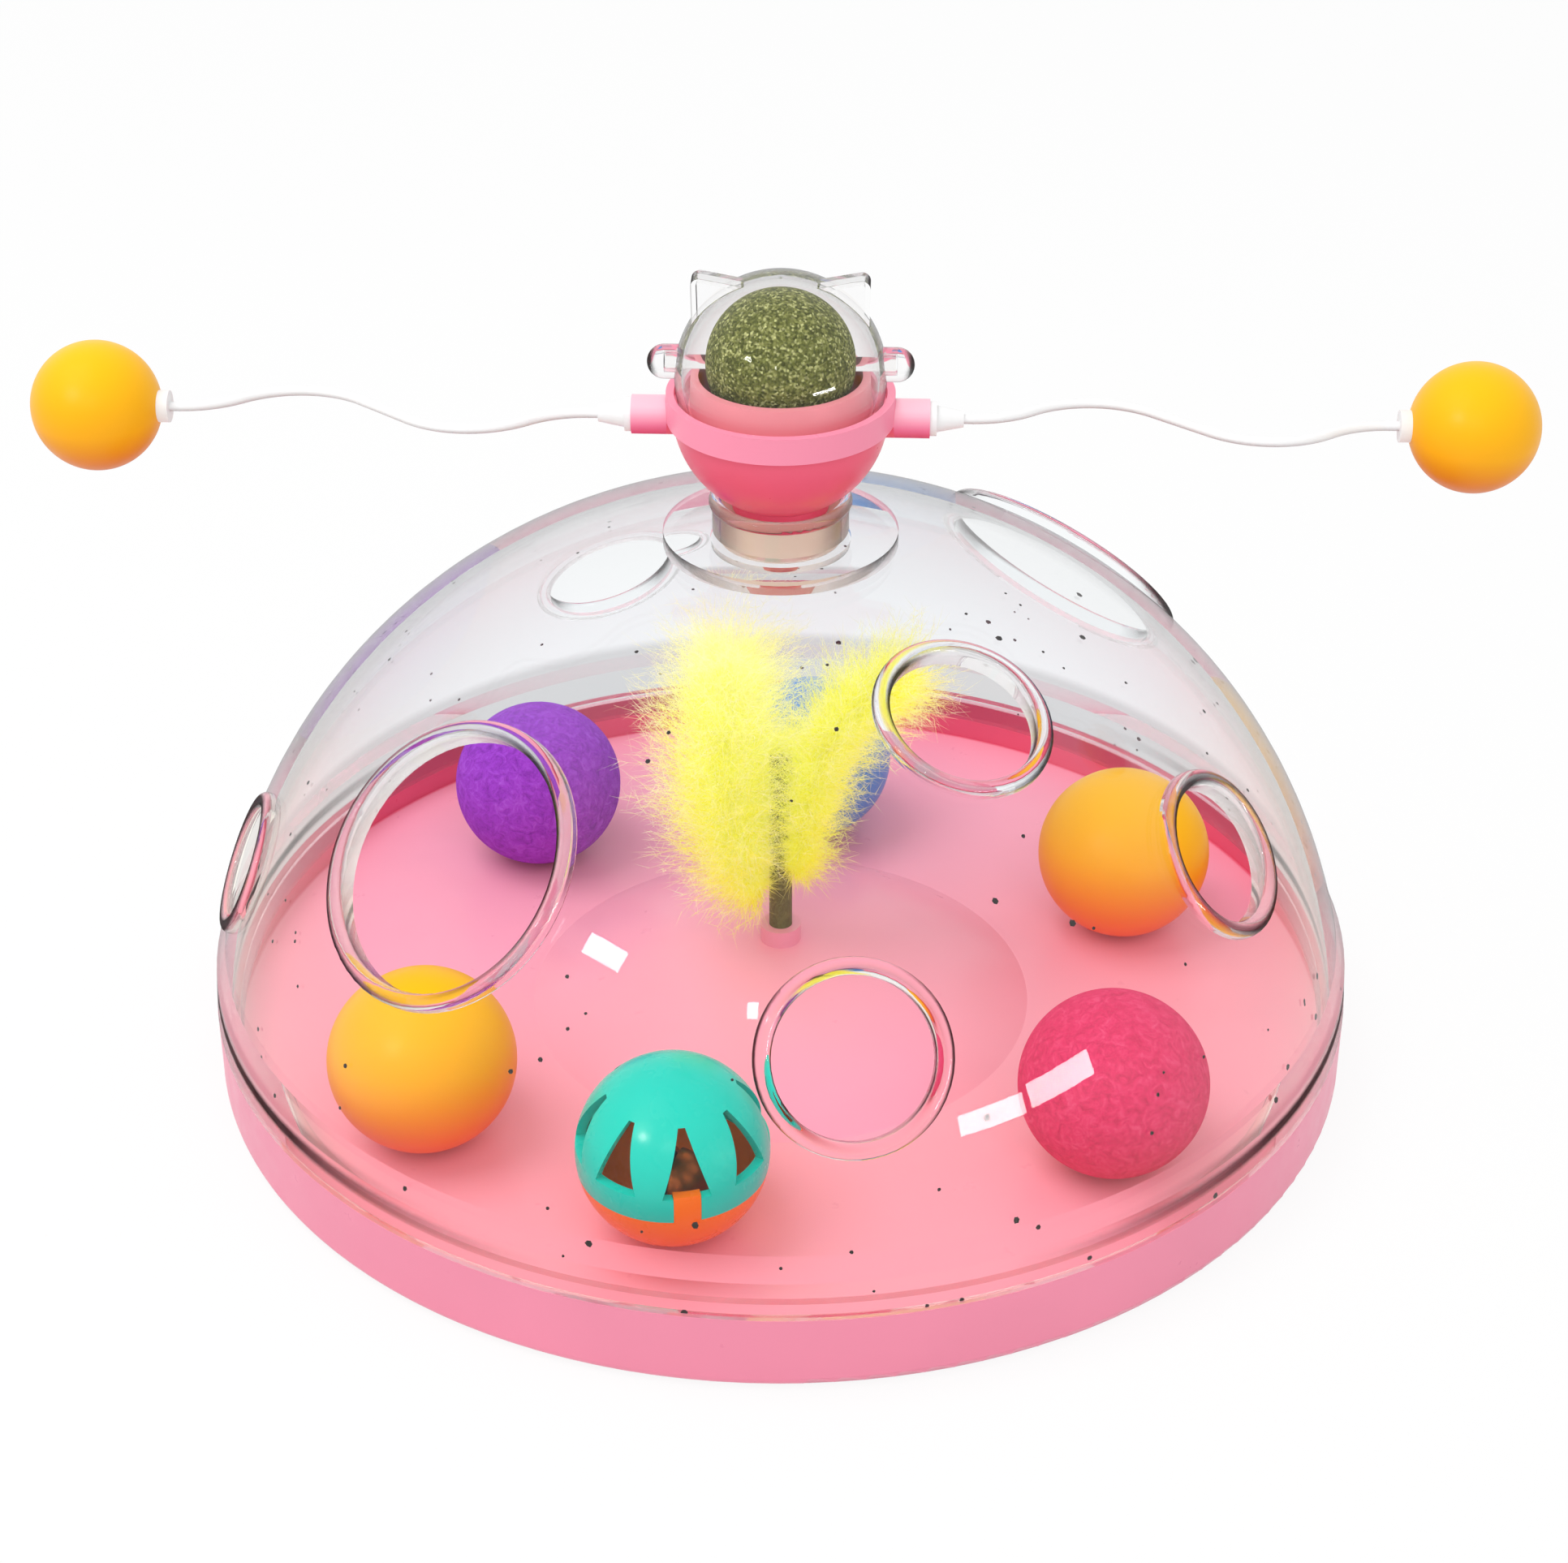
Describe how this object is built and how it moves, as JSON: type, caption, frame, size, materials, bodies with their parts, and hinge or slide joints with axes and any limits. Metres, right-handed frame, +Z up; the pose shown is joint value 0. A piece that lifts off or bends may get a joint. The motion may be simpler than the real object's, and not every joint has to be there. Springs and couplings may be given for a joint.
{
  "type": "cat track ball toy",
  "caption": "Round pet toy: loose balls and a feather in a pink tray under a clear dome with paw holes, topped by a spinner with a catnip ball and two ball arms.",
  "frame": {"origin": "on the table at the middle of the round tray, under the spinner's axis", "axes": "+Z up along the spinner's axis, +X along the two arms, the view from -Y is the front"},
  "size_m": [0.3136, 0.256, 0.1837],
  "materials": {
    "pink_plastic": "glossy moulded pink plastic",
    "pad_rubber": "soft pale rubber",
    "clear_plastic": "clear glossy plastic",
    "beige_plastic": "plain beige plastic",
    "white_plastic": "white plastic",
    "coated_wire": "steel wire with a white coat",
    "catnip": "pressed dried leaves",
    "yellow_plastic": "glossy yellow plastic",
    "blue_plastic": "glossy blue plastic",
    "magenta_felt": "short pile felt",
    "purple_felt": "short pile felt",
    "teal_plastic": "glossy teal plastic",
    "orange_plastic": "glossy orange plastic",
    "bell_metal": "stamped thin brass",
    "pellet_steel": "plain steel",
    "stick_wood": "dyed wood",
    "feather": "dyed yellow feathers"
  },
  "bodies": {
    "base": {"base_tray": "pink_plastic", "anti_slip_feet": "pad_rubber"},
    "dome": {"dome_shell": "clear_plastic", "neck_bush": "beige_plastic"},
    "spinner": {"spinner_bowl": "pink_plastic", "catnip_cradle": "pink_plastic", "arm_plug_left": "white_plastic", "arm_plug_right": "white_plastic", "wire_arm_left": "coated_wire", "wire_arm_right": "coated_wire", "ball_collar_left": "white_plastic", "ball_collar_right": "white_plastic", "spinner_ball_left": "yellow_plastic", "spinner_ball_right": "yellow_plastic"},
    "catnip": {"catnip_ball": "catnip", "catnip_axle": "clear_plastic"},
    "cover": {"cat_ear_cover": "clear_plastic"},
    "yellow_front": {"yellow_ball_front": "yellow_plastic"},
    "yellow_right": {"yellow_ball_right": "yellow_plastic"},
    "magenta": {"magenta_ball": "magenta_felt"},
    "purple": {"purple_ball": "purple_felt"},
    "blue": {"blue_ball": "blue_plastic"},
    "bell": {"bell_ball_top": "teal_plastic", "bell_ball_bottom": "orange_plastic"},
    "jingle": {"jingle_bell": "bell_metal"},
    "pellet": {"bell_pellet": "pellet_steel"},
    "feather": {"feather_stick": "stick_wood", "feather_tuft_left": "feather", "feather_tuft_right": "feather"}
  },
  "joints": [
    {"name": "dome_lift", "type": "slide", "parent": "base", "child": "dome", "axis": [0, 0, 1], "range_m": [0, 0.16]},
    {"name": "spinner_spin", "type": "hinge", "parent": "dome", "child": "spinner", "pos_m": [0, 0, 0.15], "axis": [0, 0, 1], "continuous": true},
    {"name": "catnip_spin", "type": "hinge", "parent": "cover", "child": "catnip", "pos_m": [0, 0, 0.1646], "axis": [0.9993, -0.0384, 0], "continuous": true},
    {"name": "cover_lift", "type": "slide", "parent": "spinner", "child": "cover", "axis": [0, 0, 1], "range_m": [0, 0.045]},
    {"name": "yellow_front_roll", "type": "hinge", "parent": "base", "child": "yellow_front", "pos_m": [0, 0, 0], "axis": [0, 0, 1], "range_deg": [-27, 7]},
    {"name": "bell_roll", "type": "hinge", "parent": "base", "child": "bell", "pos_m": [0, 0, 0], "axis": [0, 0, 1], "range_deg": [-7, 18]},
    {"name": "magenta_roll", "type": "hinge", "parent": "base", "child": "magenta", "pos_m": [0, 0, 0], "axis": [0, 0, 1], "range_deg": [-18, 17]},
    {"name": "yellow_right_roll", "type": "hinge", "parent": "base", "child": "yellow_right", "pos_m": [0, 0, 0], "axis": [0, 0, 1], "range_deg": [-17, 18]},
    {"name": "blue_roll", "type": "hinge", "parent": "base", "child": "blue", "pos_m": [0, 0, 0], "axis": [0, 0, 1], "range_deg": [-18, 10]},
    {"name": "purple_roll", "type": "hinge", "parent": "base", "child": "purple", "pos_m": [0, 0, 0], "axis": [0, 0, 1], "range_deg": [-10, 27]},
    {"name": "jingle_rattle", "type": "slide", "parent": "bell", "child": "jingle", "axis": [0, 0, 1], "range_m": [0, 0.012]},
    {"name": "pellet_rattle", "type": "slide", "parent": "jingle", "child": "pellet", "axis": [0, 0, 1], "range_m": [0, 0.006]},
    {"name": "feather_lift", "type": "slide", "parent": "base", "child": "feather", "axis": [0, 0, 1], "range_m": [0, 0.01]}
  ]
}
